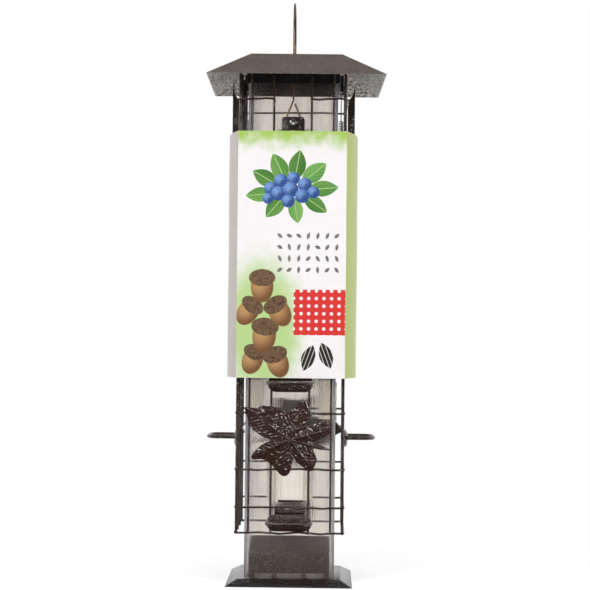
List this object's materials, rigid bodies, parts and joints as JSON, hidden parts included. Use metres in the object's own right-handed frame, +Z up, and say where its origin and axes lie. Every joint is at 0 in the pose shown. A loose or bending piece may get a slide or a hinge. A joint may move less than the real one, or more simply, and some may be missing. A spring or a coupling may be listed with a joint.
{
  "type": "squirrel proof bird feeder",
  "caption": "Clear square seed tube in a sprung welded-wire cage whose leaf shields close the feeding ports when something heavy lands, with a hipped roof and a hanging wire.",
  "frame": {"origin": "middle of the tray's underside, on the surface that the feeder stands on", "axes": "+Z up along the seed tube, -Y towards the front with the shown leaf shield, +X to the right seen from the front"},
  "size_m": [0.1434, 0.1435, 0.471],
  "materials": {
    "hammered_brown": "dark brown hammered gloss paint on steel wire and sheet",
    "frosted_plastic": "extruded clear plastic, slightly frosted, with fine lengthwise draw lines",
    "black_plastic": "moulded black plastic",
    "dark_plastic": "moulded dark brown plastic",
    "bronze_wire": "bronze coloured wire",
    "spring_steel": "bright drawn spring wire",
    "rivet_steel": "bright hollow rivet",
    "printed_card": "coated card with a printed garden pattern, no lettering"
  },
  "bodies": {
    "reservoir": {"tube_wall_front": "frosted_plastic", "tube_wall_back": "frosted_plastic", "tube_wall_left": "frosted_plastic", "tube_wall_right": "frosted_plastic", "top_collar": "black_plastic", "seed_deflector": "dark_plastic", "base_tray": "hammered_brown", "port_sill_front_lower": "hammered_brown", "port_sill_front_upper": "hammered_brown", "port_sill_back_lower": "hammered_brown", "port_sill_back_upper": "hammered_brown", "port_sill_left": "hammered_brown", "port_sill_right": "hammered_brown", "port_baffle_front_lower": "frosted_plastic", "port_baffle_front_upper": "frosted_plastic", "port_baffle_back_lower": "frosted_plastic", "port_baffle_back_upper": "frosted_plastic", "port_baffle_left": "frosted_plastic", "port_baffle_right": "frosted_plastic", "spring_bracket_left": "hammered_brown", "spring_left": "spring_steel", "spring_bracket_right": "hammered_brown", "spring_right": "spring_steel", "hanger_plate_front": "hammered_brown", "hanger_washer_front": "black_plastic", "hanger_rivet_front": "rivet_steel", "hanger_plate_back": "hammered_brown", "hanger_washer_back": "black_plastic", "hanger_rivet_back": "rivet_steel", "hanger_bail": "bronze_wire"},
    "shroud": {"cage_front": "hammered_brown", "cage_back": "hammered_brown", "cage_left": "hammered_brown", "cage_right": "hammered_brown", "spring_cover_left": "hammered_brown", "spring_cover_right": "hammered_brown", "card_sleeve": "printed_card", "leaf_shield_front_lower": "hammered_brown", "perch_plate_front_lower": "hammered_brown", "perch_rod_front_lower": "hammered_brown", "leaf_shield_front_upper": "hammered_brown", "perch_plate_front_upper": "hammered_brown", "perch_rod_front_upper": "hammered_brown", "leaf_shield_back_lower": "hammered_brown", "perch_plate_back_lower": "hammered_brown", "perch_rod_back_lower": "hammered_brown", "leaf_shield_back_upper": "hammered_brown", "perch_plate_back_upper": "hammered_brown", "perch_rod_back_upper": "hammered_brown", "leaf_shield_left": "hammered_brown", "perch_plate_left": "hammered_brown", "perch_rod_left": "hammered_brown", "leaf_shield_right": "hammered_brown", "perch_plate_right": "hammered_brown", "perch_rod_right": "hammered_brown"},
    "roof": {"roof_shell": "hammered_brown", "roof_flange": "hammered_brown"}
  },
  "joints": [
    {"name": "shroud_drop", "type": "slide", "parent": "reservoir", "child": "shroud", "axis": [0, 0, -1], "range_m": [0, 0.03], "stiffness_N_per_m": 100, "springref_m": -0.058, "deforming": ["spring_left", "spring_right"]},
    {"name": "roof_lift", "type": "slide", "parent": "reservoir", "child": "roof", "axis": [0, 0, 1], "range_m": [0, 0.024]}
  ]
}
